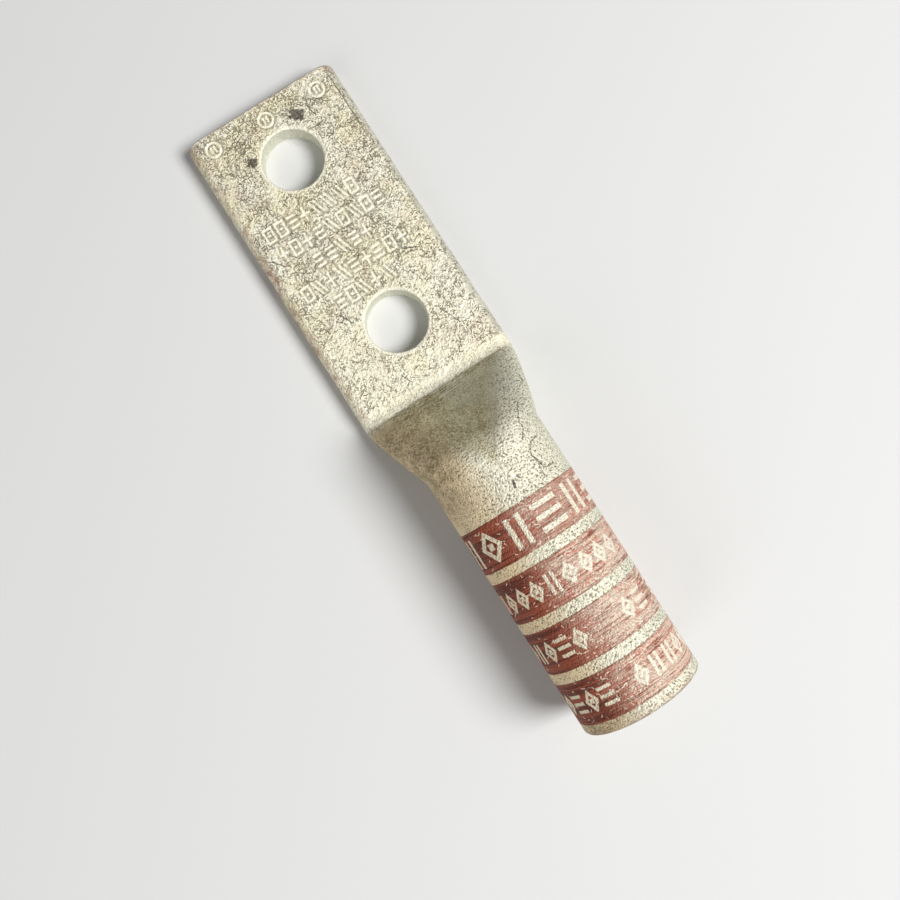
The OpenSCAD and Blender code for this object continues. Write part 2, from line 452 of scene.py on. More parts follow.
# %% Turned holes
HOLE_TURNS = 144
RIM_POINTS, WALL_POINTS = 7, 6
RING_OUT = HOLE_PATCH - 0.3
rim = np.radians(np.linspace(0, 90, RIM_POINTS))
rim_in = HOLE_R + HOLE_BREAK * (1 - np.sin(rim))
rim_down = HOLE_BREAK * (1 - np.cos(rim))
upper_profile = np.concatenate([
    [[RING_OUT, TONGUE_T]],
    np.stack([rim_in, TONGUE_T - rim_down], 1),
])
wall_z = np.linspace(TONGUE_T - HOLE_BREAK, HOLE_BREAK, WALL_POINTS)[1:-1]
wall = np.stack([np.full(len(wall_z), HOLE_R), wall_z], 1)
lower_profile = upper_profile[::-1] * [1, -1] + [0, TONGUE_T]
hole_profile = np.concatenate([upper_profile, wall, lower_profile])
turns = np.arange(HOLE_TURNS) * 2 * np.pi / HOLE_TURNS

for k, centre in enumerate(HOLE_X):
    r, z = hole_profile[:, :1], hole_profile[:, 1:]
    hole = np.stack([centre + r * np.cos(turns), r * np.sin(turns), z + 0 * turns], axis=-1)
    number = add_grid(hole)
    for loop, border in ((number[0], borders[2 * k]), (number[-1], borders[2 * k + 1])):
        numbers = skin_number[border[:, 0], border[:, 1]]
        corners = skin[border[:, 0], border[:, 1]][:, :2]
        angles = turn_angle(corners, np.array([centre, 0]), 1.0)
        zip_loops((numbers, angles), (loop, np.arctan2(np.sin(turns), np.cos(turns))))
print("hole profile points:", len(hole_profile))

# %% [markdown]
# ## The free end
# At the free end the two walls of the flattened tube lie on each other, and the line between them
# shows as a fine slot. The end face is a zip from the skin's first outline to the slot's mouth, and the
# slot is a second, flat outline carried inwards.

# %% End face and slot
SLOT_TURNS = 96
SLOT_SQUARING = [0.8, 0.25]
SLOT_SHARES = np.array([0.0, 0.3, 1.0])
slot_angle = np.arange(SLOT_TURNS) * 2 * np.pi / SLOT_TURNS
slot_turn = np.stack([np.cos(slot_angle), np.sin(slot_angle)], 1)
slot_reach = np.array([TONGUE_W / 2 - WALL, SEAM_GAP / 2])
end_middle = np.array([0, TONGUE_T / 2])
slot_yz = np.sign(slot_turn) * np.abs(slot_turn) ** SLOT_SQUARING * slot_reach + end_middle
slot_x = SLOT_SHARES * SEAM_DEPTH
slot_parts = (slot_x[:, None], slot_yz[:, 0], slot_yz[:, 1])
slot = np.stack([np.broadcast_to(part, (len(slot_x), SLOT_TURNS)) for part in slot_parts], axis=-1)
slot_number = add_grid(slot)
end_loop = skin[0, :, 1:]
end_reach = np.array([np.abs(end_loop[:, 0]).max(), TONGUE_T / 2])
zip_loops(
    (skin_number[0], turn_angle(end_loop, end_middle, end_reach)),
    (slot_number[0], turn_angle(slot_yz, end_middle, slot_reach)),
)
close_flat(slot_number[-1])
print("slot points:", slot.shape[0] * SLOT_TURNS)

# %% [markdown]
# ## The bore
# Inside the mouth a small lead-in chamfer guides the cable. Behind the straight bore the tube closes
# down with the pressing, one wall in from the outer skin, until its walls meet.

# %% Bore and inner transition
BORE_COLUMNS = 128
BORE_STATIONS, HOLLOW_STATIONS = 24, 46
LEAD_ZONE = 2
LEAST_HOLLOW = 0.25


def hollow_height(x):
    """Height of the inside: one wall off below, and one wall measured square to the slope off above."""
    return top_height(x) - WALL - WALL / np.cos(top_slope(x))


inner_x = np.concatenate([
    [LENGTH - BORE_LEAD],
    np.linspace(LENGTH - LEAD_ZONE, BARREL_X, BORE_STATIONS),
    np.linspace(BARREL_X, FOOT_END, HOLLOW_STATIONS)[1:],
])
inner_x = inner_x[hollow_height(inner_x) > LEAST_HOLLOW]
inner_h = hollow_height(inner_x)
inner_w = width(inner_x) - 2 * WALL
inner_flat = np.clip(np.minimum(flat_half(inner_x), (inner_w - inner_h) / 2), 0, None)
inner = read_at(
    inner_x,
    outlines(inner_x, inner_w, inner_h, WALL, inner_flat, sag(inner_x) * np.clip(inner_h / WALL, 0, 1)),
    np.broadcast_to(np.arange(BORE_COLUMNS) / BORE_COLUMNS, (len(inner_x), BORE_COLUMNS)),
)
axis = np.array([0, BARREL_R])
lead = inner[:1].copy()
lead[..., 0] = LENGTH
lead[..., 1:] = axis + (lead[..., 1:] - axis) * (BORE_R + BORE_LEAD) / BORE_R
bore = np.concatenate([lead, inner])
bore_number = add_grid(bore)
zip_loops(
    (skin_number[-1], turn_angle(skin[-1, :, 1:], axis, 1.0)),
    (bore_number[0], turn_angle(bore[0, :, 1:], axis, 1.0)),
)
close_flat(bore_number[-1])
print("bore stations:", len(inner_x), "hollow ends at %.1f" % inner_x[-1])

# %% [markdown]
# ## One closed mesh
# A pressed part is never quite flat, so the tongue first gets slow waves of a few hundredths of a
# millimetre. The patches then go into one mesh in metres, at the lug's place in the frame. Merging the
# points that coincide closes it, and the normals are turned outwards all at once.

# %% Waves of the pressing
# Each wave of the top face has a height, its turns per mm along x and y, and where it starts
WAVES = [(0.030, 0.23, 0.31, 0.0), (0.022, 0.41, -0.37, 1.3), (0.015, 0.13, 0.90, 0.0)]
WAVE_SINK = 0.05
# Each ripple of the long edges has a height, its turn per mm along x, and how far the two edges differ
RIPPLES = [(0.05, 0.19, 2), (0.03, 0.61, 1)]


def handled(p):
    """Moves points of the tongue: its top down by a sum of sines of x and y, its edges in by one of x."""
    x, y, z = p.T
    side = np.sign(y)
    fade = share(x, TONGUE_LEN, -8) * share(x, 0, 4)
    top = share(z, 0.6 * TONGUE_T, 0.4 * TONGUE_T)
    edge = share(np.abs(y), 0.8 * TONGUE_W / 2, 0.2 * TONGUE_W / 2)
    wave = sum(high * np.sin(along * x + across * y + start) for high, along, across, start in WAVES)
    ripple = sum(high * np.sin(along * x + apart * side) for high, along, apart in RIPPLES)
    inwards = -side * edge * fade * np.abs(ripple)
    return p + np.stack([0 * x, inwards, top * fade * (wave - WAVE_SINK)], axis=1)


# %% Mesh from the patches
vertices = handled(np.concatenate(points))
vertices[:, 0] += low[0]
four, three = np.concatenate(quads), np.concatenate(triangles)
face_corners = np.concatenate([four.ravel(), three.ravel()])
face_starts = np.concatenate([4 * np.arange(len(four)), 4 * len(four) + 3 * np.arange(len(three))])

lug_mesh = bpy.data.meshes.new("lug_skin")
lug_mesh.vertices.add(len(vertices))
lug_mesh.vertices.foreach_set("co", (vertices * MM).ravel())
lug_mesh.loops.add(len(face_corners))
lug_mesh.loops.foreach_set("vertex_index", face_corners)
lug_mesh.polygons.add(len(face_starts))
lug_mesh.polygons.foreach_set("loop_start", face_starts)
lug_mesh.update(calc_edges=True)
lug_mesh.validate()
print("patches: %d points, %d faces" % (len(vertices), len(face_starts)))

# %% Merge, close and smooth
MERGE, DEGENERATE = 1e-7, 1e-8
SHARP = np.radians(48)
work = bmesh.new()
work.from_mesh(lug_mesh)
bmesh.ops.remove_doubles(work, verts=work.verts, dist=MERGE)
bmesh.ops.dissolve_degenerate(work, edges=work.edges, dist=DEGENERATE)
bmesh.ops.recalc_face_normals(work, faces=work.faces)
open_edges = sum(not e.is_manifold for e in work.edges)
volume = work.calc_volume(signed=True)
work.to_mesh(lug_mesh)
work.free()
lug_mesh.polygons.foreach_set("use_smooth", np.ones(len(lug_mesh.polygons), bool))
lug_mesh.set_sharp_from_angle(angle=SHARP)
lug_mesh.calc_loop_triangles()
print("lug: %d triangles, %d open edges" % (len(lug_mesh.loop_triangles), open_edges))
print("volume: %.1f cubic mm" % (volume / MM**3))

# %% Distance from the stamps, kept for the finish
at = np.empty(3 * len(lug_mesh.vertices), np.float32)
lug_mesh.vertices.foreach_get("co", at)
at = at.reshape(-1, 3) / MM - [low[0], 0, 0]
is_top = (at[:, 2] > 0.8 * TONGUE_T) & (at[:, 0] < TONGUE_LEN)
stamp_far = np.where(is_top, stamp_distance(at[:, 0], at[:, 1]), FAR_OFF)
far_values = lug_mesh.attributes.new("stamp_far", "FLOAT", "POINT").data
far_values.foreach_set("value", stamp_far.astype(np.float32))
print("points on a stamped line:", int((stamp_far < STAMP_STROKE).sum()))


# %% The lug in its frame
def put(name, data):
    """A new object in the scene."""
    made = bpy.data.objects.new(name, data)
    bpy.context.scene.collection.objects.link(made)
    return made


lug = put("lug", lug_mesh)
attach(lug, "root")
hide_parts("lug_body")
print("lug rides on root and replaces lug_body")

# %% [markdown]
# ## Writing shader maths as Python
# A finish is a tree of nodes, and wiring maths by hand hides what it says. A small class wraps a socket,
# so that an expression such as `1 - mask * 0.5` adds the Math nodes. One method makes any other node.


# %% A wire and a finish
class Wire:
    """The value of a socket. Arithmetic on it adds Math nodes to its finish."""

    def __init__(self, finish, socket):
        self.finish, self.socket = finish, socket

    def math(self, operation, *others):
        values = dict(enumerate((self, *others)))
        return self.finish.node("ShaderNodeMath", {"operation": operation}, values)

    __add__ = __radd__ = partialmethod(math, "ADD")
    __sub__ = partialmethod(math, "SUBTRACT")
    __mul__ = __rmul__ = partialmethod(math, "MULTIPLY")
    __truediv__ = partialmethod(math, "DIVIDE")
    __pow__ = partialmethod(math, "POWER")
    __abs__ = partialmethod(math, "ABSOLUTE")
    most, least = partialmethod(math, "MAXIMUM"), partialmethod(math, "MINIMUM")
    over, under = partialmethod(math, "GREATER_THAN"), partialmethod(math, "LESS_THAN")
    floor, fraction = partialmethod(math, "FLOOR"), partialmethod(math, "FRACT")

    def __rsub__(self, other):
        return self.finish.node("ShaderNodeMath", {"operation": "SUBTRACT"}, {0: other, 1: self})

    def __rtruediv__(self, other):
        return self.finish.node("ShaderNodeMath", {"operation": "DIVIDE"}, {0: other, 1: self})

    def also(self, name):
        """Another output of the same node."""
        return Wire(self.finish, self.socket.node.outputs[name])

    def ramp(self, start, stop):
        """0 before start, 1 after stop, smooth between them. stop may lie before start."""
        sockets = {"Value": self, "From Min": start, "From Max": stop}
        return self.finish.node("ShaderNodeMapRange", {"interpolation_type": "SMOOTHSTEP"}, sockets)


class Finish:
    """A material and its tree. node() adds any node: settings first, then values or wires for its sockets."""

    def __init__(self, name):
        self.material = bpy.data.materials.new(name)
        self.material.use_nodes = True
        self.tree = self.material.node_tree
        self.tree.nodes.clear()

    def node(self, kind, settings=None, sockets=None, output=0):
        made = self.tree.nodes.new(kind)
        for key, value in (settings or {}).items():
            setattr(made, key, value)
        for key, value in (sockets or {}).items():
            if isinstance(value, Wire):
                self.tree.links.new(value.socket, made.inputs[key])
            else:
                made.inputs[key].default_value = value
        return Wire(self, made.outputs[output]) if made.outputs else None

    def parts(self, vector):
        """The three numbers of a vector."""
        first = self.node("ShaderNodeSeparateXYZ", {}, {"Vector": vector})
        return [first.also(axis) for axis in "XYZ"]

    def vector(self, x, y, z=0.0):
        """A vector from three numbers."""
        return self.node("ShaderNodeCombineXYZ", {}, {"X": x, "Y": y, "Z": z})

    def scaled(self, vector, scale, turn=0.0, shift=(0, 0, 0)):
        """A vector turned about z, then stretched along its own directions, for streaks and hairs."""
        about_z = {"rotation_type": "Z_AXIS"}
        turned = self.node("ShaderNodeVectorRotate", about_z, {"Vector": vector, "Angle": turn})
        stretched = {"operation": "MULTIPLY_ADD"}
        return self.node("ShaderNodeVectorMath", stretched, {0: turned, 1: scale, 2: shift})

    def noise(self, vector, scale, detail=2.0, rough=0.5, curl=0.0):
        sockets = {"Vector": vector, "Scale": scale, "Detail": detail, "Roughness": rough, "Distortion": curl}
        return self.node("ShaderNodeTexNoise", {}, sockets)

    def blend(self, factor, first, second):
        """A number between two numbers."""
        return self.node("ShaderNodeMix", {}, {0: factor, 2: first, 3: second})

    def mix(self, factor, first, second):
        """A colour between two colours."""
        return self.node("ShaderNodeMix", {"data_type": "RGBA"}, {0: factor, 6: first, 7: second}, output=2)

    def layers(self, colour, *rows):
        """A colour with others laid over it, each given as its mask and itself."""
        for mask, over in rows:
            colour = self.mix(mask, colour, over)
        return colour

    def shine(self, **sockets):
        """The surface shader, joined to the material's output."""
        sockets = {key.replace("_", " "): value for key, value in sockets.items()}
        shader = self.node("ShaderNodeBsdfPrincipled", {}, sockets)
        self.node("ShaderNodeOutputMaterial", {}, {"Surface": shader})


def rgb(r, g, b):
    return (r, g, b, 1.0)


# %% [markdown]
# ## Tin
# The plating is a pale, warm, matt grey. Years in a drawer gave it dense dark pits and short hairs in
# clusters, smooth yellowish patches, a few long scratches, and copper that shows on rubbed edges. An
# image would be quicker, but a procedural finish keeps its grain at any distance. Every layer below
# is noise on Object coordinates in millimetres, cut by a ramp into pits, hairs or patches.
#
# The first masks only say where on the lug something is. A ramp names where a mask starts and where it is
# whole, and the factor that a mask is multiplied by is its strength.

# %% Tin: places on the lug
tin = Finish("tinned_copper")
object_place = tin.node("ShaderNodeTexCoord", output="Object")
mm = tin.node("ShaderNodeVectorMath", {"operation": "SCALE"}, {"Vector": object_place, "Scale": 1 / MM})
along_x, y, z = tin.parts(mm)
x = along_x - float(low[0])
turn = y.math("ARCTAN2", z - BARREL_R)
arc = turn * BARREL_R
outside = (y * y + (z - BARREL_R) ** 2).ramp((BARREL_R - 1.0) ** 2, (BARREL_R - 0.5) ** 2)


def far(centre_x, centre_y):
    """Distance in plan from a point."""
    return ((x - centre_x) ** 2 + (y - centre_y) ** 2) ** 0.5


def most_of(masks):
    """The strongest of several masks at each place."""
    strongest = masks[0]
    for mask in masks[1:]:
        strongest = strongest.most(mask)
    return strongest


on_tongue = x.ramp(TONGUE_LEN + 0.8, TONGUE_LEN - 0.4)
on_barrel = x.ramp(FOOT_END - 0.5, FOOT_END + 2.5)
in_hollow = x.ramp(TONGUE_LEN - 0.4, TONGUE_LEN + 0.4) * x.ramp(FOOT_END + 0.5, FOOT_END - 0.5)
face_half = (BARREL_X - x) * (TONGUE_FLAT / TRANSITION)
in_dish = x.ramp(FOOT_END - 0.2, FOOT_END + 0.7) * (abs(y) - face_half).ramp(1.5, -3.0)
in_bore = (1 - outside) * x.ramp(BARREL_X - 1.0, BARREL_X)
hole_far = far(HOLE_X[0], 0).least(far(HOLE_X[1], 0))
left_edge = y.ramp(-16.6, -18.4) * on_tongue
right_edge = y.ramp(17.0, 18.4) * on_tongue
left_side = y.ramp(-1.0, -9.5) * on_barrel
right_flank = y.ramp(7.5, 12.0) * x.ramp(80, 84) * x.ramp(101, 95)
left_flank = y.ramp(-5.0, -11.0) * x.ramp(78, 82) * x.ramp(108, 98)
upper_side = z.ramp(0.5 * TONGUE_T, 0.9 * TONGUE_T)
on_flat = abs(y).ramp(TONGUE_W / 2 - 0.7, TONGUE_W / 2 - 1.7) * x.ramp(0.3, 1.0)
to_free_end = x.ramp(72, 30)


def tell(what):
    """Prints how many nodes the finish has after a step."""
    print("%s: %d nodes so far" % (what, len(tin.tree.nodes)))


tell("places")

# %% [markdown]
# ## Strokes, hairs and pits
# Seen close, the tin is covered with short dark strokes, straight and curled, with fine pits between
# them. There are too many to draw one by one. A curled stroke is where a noise passes through its middle
# value, and a straight one is a line through the point of a Voronoi cell.


# %% Tin: kinds of strokes
def shifted(k):
    """The place in millimetres, moved so that layer k of noise differs from the others."""
    return tin.scaled(mm, (1, 1, 1), 0.7 * k, (13.7 * k, 5.1 * k, 3.3 * k))


def crossing(noise, thick, thin, level=0.5):
    """Lines where a noise passes through a level. They start at a distance thick and are whole at thin."""
    return abs(noise - level).ramp(thick, thin)


def squiggles(k, scale, thick, cover):
    """Short curved strokes: where a noise crosses its middle, kept where a second noise is high."""
    line = crossing(tin.noise(shifted(k), scale, 1.5, 0.5, 0.9), thick, 0.6 * thick)
    return line * tin.noise(shifted(k + 0.5), 0.8 * scale, 2, 0.5).ramp(cover, cover + 0.07)


def hairs(k, angle, thick, cover):
    """Long fine scratches: the same crossing line, in a noise stretched along one direction."""
    stretched = tin.scaled(mm, (0.10, 0.9, 0.3), angle, (9.1 * k, 4.7 * k, 2.3 * k))
    line = crossing(tin.noise(stretched, 1.0, 1, 0.5), thick, 0.2 * thick)
    return line * tin.noise(shifted(k), 0.16, 2, 0.5).ramp(cover, cover + 0.05)


def ticks(k, u, v, size, thick, long, kept, lean=(0.0, np.pi)):
    """Short straight scratches. Each cell of a Voronoi pattern holds one through its own point: its colour
    picks the direction, and whether the cell keeps it."""
    u, v = u + 31.0 * k, v + 17.0 * k
    sockets = {"Vector": tin.vector(u, v), "Scale": 1 / size}
    cell = tin.node("ShaderNodeTexVoronoi", {"voronoi_dimensions": "2D"}, sockets)
    centre_u, centre_v, _ = tin.parts(cell.also("Position"))
    lot, chance, bend = tin.parts(cell.also("Color"))
    angle = lot * (lean[1] - lean[0]) + lean[0]
    cosine, sine = angle.math("COSINE"), angle.math("SINE")
    along = (u - centre_u) * cosine + (v - centre_v) * sine
    aside = (v - centre_v) * cosine - (u - centre_u) * sine + (bend - 0.5) * along * along * (0.8 / long)
    drawn = abs(aside).ramp(thick, 0.5 * thick) * abs(along).ramp(long, 0.75 * long)
    return drawn * (kept - chance).ramp(0.0, 0.05)


# %% Tin: noises, from slow to fine
patches = tin.noise(shifted(1), 0.10, 3, 0.55)
blush = tin.noise(shifted(17), 0.17, 2, 0.5)
clusters = tin.noise(shifted(2), 0.28, 3, 0.62)
coarse = tin.noise(shifted(4), 1.1, 3, 0.62)
grain = tin.noise(shifted(3), 1.6, 1, 0.5)
fine = tin.noise(shifted(15), 2.8, 0, 0.5)
pits = (grain * 0.25 + fine * 0.75).ramp(0.43, 0.35)
spots = coarse.ramp(0.57, 0.66)
tell("noises")

# %% Tin: calm and busy places
# Each disc has a centre in plan and a reach
CALM = [
    ((12.3, -14.3), 3.6),
    ((32.3, 15.0), 3.0),
    ((39.3, -15.0), 2.8),
    ((32.6, -12.6), 2.2),
    ((70.2, -1.6), 4.0),
]
BUSY = [
    ((2.4, -8.7), 2.4),
    ((4.1, 5.7), 3.0),
    ((15.9, 16.7), 2.2),
    ((25.4, -0.1), 2.6),
    ((52.0, -10.0), 3.2),
]


def ragged_discs(discs):
    """Patches with a ragged edge, each round a centre in plan. 1 inside, 0 outside."""
    ragged_far = [(far(*centre) + (clusters - 0.5) * 2 * reach, reach) for centre, reach in discs]
    return most_of([distance.ramp(reach, 0.4 * reach) for distance, reach in ragged_far])


calm, busy = ragged_discs(CALM), ragged_discs(BUSY)
density = (clusters.ramp(0.35, 0.65) * (1 - 0.8 * calm)).most(busy * 0.85)
crowd = (0.15 + 0.55 * density) * (0.48 + 0.52 * to_free_end)
print("calm places: %d, busy places: %d" % (len(CALM), len(BUSY)))

# %% Tin: strokes in their places
# Each row of ticks has a cell size, half a thickness, half a length and how readily a cell keeps one
TICKS = [
    (1.9, 0.14, 0.90, 0.8),
    (1.2, 0.13, 0.55, 0.8),
    (0.8, 0.13, 0.36, 1.0),
    (0.6, 0.13, 0.26, 0.9),
]
# Each row of hairs has a layer, a direction, a thickness and the level of the noise that keeps them
HAIRS = [(8, 0.9, 0.016, 0.50), (9, 2.2, 0.014, 0.52), (10, -0.3, 0.014, 0.54)]

short_ticks = [ticks(k + 1, x, y, *sizes, crowd * kept) for k, (*sizes, kept) in enumerate(TICKS)]
curled = squiggles(5, 0.85, 0.048, 0.52) * 0.8
strokes = curled.most(most_of(short_ticks) * on_flat)
scratches = most_of([hairs(*row) for row in HAIRS])
tell("strokes")

# %% [markdown]
# ## Colour of the tin
# The tin has no single colour. Pale flecks lie on a darker ground, which is straw-coloured towards the
# free end, greyer on the barrel, tanned on its left side and olive in the dished incline. The left flank is
# browned partly by soil and partly by painted shade, and the barrel's right side is greyed partly by grime
# and partly by a painted dark reflection. Each step mixes one more colour in by a mask, from the widest
# place to the smallest, and the dirt and some painted shade are laid over them.

# %% Tin: flecks
PALE, MID = rgb(1.0, 0.97, 0.80), rgb(0.83, 0.77, 0.585)
PALE_STRAW, MID_STRAW = rgb(0.98, 0.915, 0.67), rgb(0.81, 0.735, 0.505)
PALE_GREY, MID_GREY = rgb(0.855, 0.825, 0.66), rgb(0.575, 0.545, 0.425)


def speckled(base, *layers):
    """A value with the swing of some noises added: base + sum of amount * (noise - 1/2)."""
    for amount, noise in layers:
        base = base + amount * (noise - 0.5)
    return base


straw = (patches.ramp(0.42, 0.58) * (0.3 + 0.7 * to_free_end)).most(calm * 0.7)
pale = tin.mix(on_barrel, tin.mix(straw, PALE, PALE_STRAW), PALE_GREY)
mid = tin.mix(on_barrel, tin.mix(straw, MID, MID_STRAW), MID_GREY)
smooth = most_of([in_hollow * 0.5, in_dish * 0.3, in_bore * 0.75])
# In smooth places the flecks pale from the hollow's near wall to the crease and stay pale beyond it: painted
# light on the far wall, which faces away from the lamp
painted_lift = x.ramp(TONGUE_LEN + 1.0, FOOT_END)
flecks = grain.ramp(0.41, 0.52) * 0.5 + fine.ramp(0.41, 0.52) * 0.5
flecks = tin.blend(smooth, flecks, speckled(0.25 + 0.65 * painted_lift, (1.2, fine)))
skin_colour = tin.mix(flecks, mid, pale)
tell("flecks")

# %% Tin: tanned and olive places, soil and grime with painted shade
BLUSH, EDGE_GREY = rgb(0.80, 0.68, 0.53), rgb(0.60, 0.58, 0.48)
TAN, OLIVE = rgb(0.85, 0.655, 0.39), rgb(0.36, 0.30, 0.145)
SOIL_AND_SHADE, VERDIGRIS_AND_REFLECTION = rgb(0.30, 0.235, 0.125), rgb(0.56, 0.58, 0.47)

tanned = left_side.most(left_edge * 0.22)
mottled = in_dish * speckled(0.25, (3.4, grain), (5.0, fine), (3.0, clusters), (2.6, patches))
mottled = mottled * (1 - 0.6 * far(83.3, 10.3).ramp(4.5, 1.0))
left_spot = far(90.0, -6.5).ramp(6.5, 1.5) * z.ramp(10, 13) * speckled(0.40, (2.4, grain))
right_spot = far(86.6, 3.8).ramp(5.5, 1.5) * in_dish * speckled(0.34, (2.0, grain))
# The left flank and the barrel's left side by the mouth are browned partly by soil and partly by painted
# shade on the side turned from the lamp
soil_and_painted_shade = left_flank.most(left_side * x.ramp(LENGTH - 4.5, LENGTH - 3.0) * outside)
# Greyed: the right flank by grime, and the barrel's right side towards its outline by a painted dark
# reflection
grime_and_painted_reflection = (right_flank * 0.40).most(turn.ramp(0.80, 1.20) * on_barrel * 0.30)
skin_colour = tin.layers(
    skin_colour,
    (blush.ramp(0.50, 0.68) * on_tongue * 0.40, BLUSH),
    (right_edge * 0.85, EDGE_GREY),
    (tanned * (0.55 + 0.5 * patches), TAN),
    (in_dish * 0.65, MID_STRAW),
    (most_of([mottled, left_spot, right_spot]), OLIVE),
    (soil_and_painted_shade * speckled(0.42, (2.8, fine), (2.4, grain), (1.6, clusters)), SOIL_AND_SHADE),
    (grime_and_painted_reflection, VERDIGRIS_AND_REFLECTION),
)
tell("stained places")

# %% Tin: dirt in the pits and strokes
off_stamp = tin.node("ShaderNodeAttribute", {"attribute_name": "stamp_far"}, output="Fac")
stamp = off_stamp.ramp(0.34, 0.16)
tongue_dirt = most_of([strokes * (0.70 + 0.25 * density), pits * (0.20 + 0.30 * density), scratches * 0.85])
barrel_crowd = density.most(right_flank * 0.9)
barrel_dirt = (spots * 0.55 * barrel_crowd).most(pits * (0.50 + 0.40 * barrel_crowd)) * (1 - 0.10 * tanned)
dirt = tin.blend(on_barrel, tongue_dirt, barrel_dirt) * (1 - 0.85 * smooth)
dirt = dirt * (1 - 0.35 * left_edge) * hole_far.ramp(HOLE_R + 0.5, HOLE_R + 1.1)
dirt = dirt * (1 - 0.9 * stamp)
tell("dirt")

# %% [markdown]
# ## Marks of use
# A used lug has a history that noise alone doesn't tell: a few deep scratches, two dark stains near the
# first hole, grime and painted shade round the stamps, cracks in the plating on the shoulder, drawn lines and
# painted sheen under the crease, copper where the edges were rubbed, and dark rims at both ends that are
# partly painted shade. Each one is listed with its place and joins the dirt or the pale marks.


# %% Marks of use: kinds of lines
def scratch(across_x, across_y, start, stop, thick, blunt=0.7, wander=0.8):
    """A scratch between two places: close to its line, which wanders a little, and between its ends. It fades
    beyond the share blunt of its half length."""
    start, stop = np.array(start), np.array(stop)
    middle, half = (start + stop) / 2, np.hypot(*(stop - start)) / 2
    run_x, run_y = (stop - start) / (2 * half)
    along = (across_x - middle[0]) * run_x + (across_y - middle[1]) * run_y
    aside = (across_y - middle[1]) * run_x - (across_x - middle[0]) * run_y
    strayed = abs(aside + (coarse * 0.55 + grain * 0.45 - 0.5) * wander)
    return strayed.ramp(thick, 0.3 * thick) * abs(along).ramp(half, blunt * half)


def wavy_line(value, centre, sway, thick, thin):
    """A line where a coordinate equals a centre, which sways with the coarse noise."""
    return abs(value - centre + (coarse - 0.5) * sway).ramp(thick, thin)


# %% Marks of use: scratches, stains and cracks
# Each scratch has a start, an end and half a thickness, and each crack is a run of places
SCRATCHES = [
    ((48.4, 13.9), (46.2, 9.4), 0.22),
    ((55.1, -8.6), (51.8, -10.3), 0.22),
    ((36.2, -14.4), (32.9, -16.9), 0.24),
    ((6.2, 9.4), (10.1, 10.0), 0.16),
    ((70.7, -5.8), (74.0, -4.4), 0.16),
    ((62.0, 9.6), (68.5, 12.4), 0.14),
    ((23.5, -12.0), (29.5, -16.0), 0.13),
]
STAINS = [((5.6, 4.3), (8.5, 8.5), 1.75), ((10.3, -9.7), (12.1, -7.0), 1.45)]
STAIN_BLUNT, STAIN_WANDER = 0.25, 1.2
CRACKS = [
    [(90.8, 11.2), (94.8, 8.6), (96.4, 8.7), (98.4, 7.0)],
    [(99.0, 10.5), (99.8, 8.1), (101.6, 6.9), (105.6, 8.0), (105.5, 10.4)],
    [(104.4, 7.2), (106.8, 7.0)],
    [(85.8, 15.7), (87.6, 15.2)],
]
CRACK_THICK, CRACK_BLUNT, CRACK_WANDER = 0.23, 0.92, 1.5
# On the barrel the second number of a place is the way round from its top
NICKS = [((103.8, 0.9), (106.0, 0.5), 0.46), ((103.6, 1.9), (104.9, 2.8), 0.18)]
BURR = ((102.8, 1.0), (103.9, 2.0), 0.30)

gouges = most_of([scratch(x, y, *line) for line in SCRATCHES]) * on_tongue * upper_side
blotch = most_of([scratch(x, y, *line, STAIN_BLUNT, STAIN_WANDER) for line in STAINS]) * upper_side
stains = speckled(blotch, (2.0, grain), (1.6, fine)).ramp(0.30, 0.52) * blotch.ramp(0.06, 0.25)
crack_steps = [(start, stop) for line in CRACKS for start, stop in zip(line, line[1:])]
crack_parts = [scratch(x, y, *step, CRACK_THICK, CRACK_BLUNT, CRACK_WANDER) for step in crack_steps]
cracks = most_of(crack_parts) * z.ramp(8, 11)
nick = most_of([scratch(x, arc, *line) for line in NICKS]) * on_barrel * outside
burr = scratch(x, arc, *BURR) * on_barrel * outside
grime = most_of([gouges * 0.8, stains * 0.85, nick * 0.85, cracks * 0.75])
print("scratches: %d, stains: %d, cracks: %d" % (len(SCRATCHES), len(STAINS), len(CRACKS)))

# %% Marks of use: grime and painted shade round the stamps, lines along the creases, painted sheen
SEAT_Y = 17.55
FOOT_LINE_X, CREASE_X = TONGUE_LEN + 0.1, FOOT_END + 0.35

rubs = tin.noise(shifted(14), 0.35, 3, 0.6)
ring_far = most_of([0.0 - far(*centre) for centre in RING_MARKS]) * -1.0
halo = ring_far.ramp(RING_R + 1.5, RING_R + 0.4) * ring_far.ramp(RING_R - 0.1, RING_R + 0.2)
halo = halo * coarse.ramp(0.42, 0.6) * upper_side
# A dark brim round the stamped lines: partly grime and partly painted shade for the shadowed sides of the
# strokes
brim = off_stamp.ramp(0.26, 0.42) * off_stamp.ramp(0.85, 0.55) * (0.45 + 0.55 * coarse.ramp(0.40, 0.60))
seat_line = wavy_line(y, SEAT_Y, 0.9, 0.26, 0.08) * x.ramp(1.5, 3.0) * x.ramp(24, 16) * upper_side
foot_line = wavy_line(x, FOOT_LINE_X, 0.9, 0.26, 0.08) * rubs.ramp(0.40, 0.55) * on_flat
# A thin dark line along the crease
crease = wavy_line(x, CREASE_X, 0.5, 0.32, 0.10) * abs(y).ramp(17.5, 14.5)
drawn_noise = tin.noise(tin.vector(x * 1.7, y * 0.07, 4.0), 1.0, 2, 0.6)
under_crease = in_dish * x.ramp(83.5, 79.5)
drawn = crossing(drawn_noise, 0.05, 0.01) * under_crease
# Pale lines beside the drawn ones under the crease: painted sheen
painted_sheen_lines = crossing(drawn_noise, 0.04, 0.01, level=0.58) * under_crease * coarse.ramp(0.45, 0.60)
dark_lines = [seat_line * 0.85, drawn * 0.75, crease * 0.45, foot_line * 0.5]
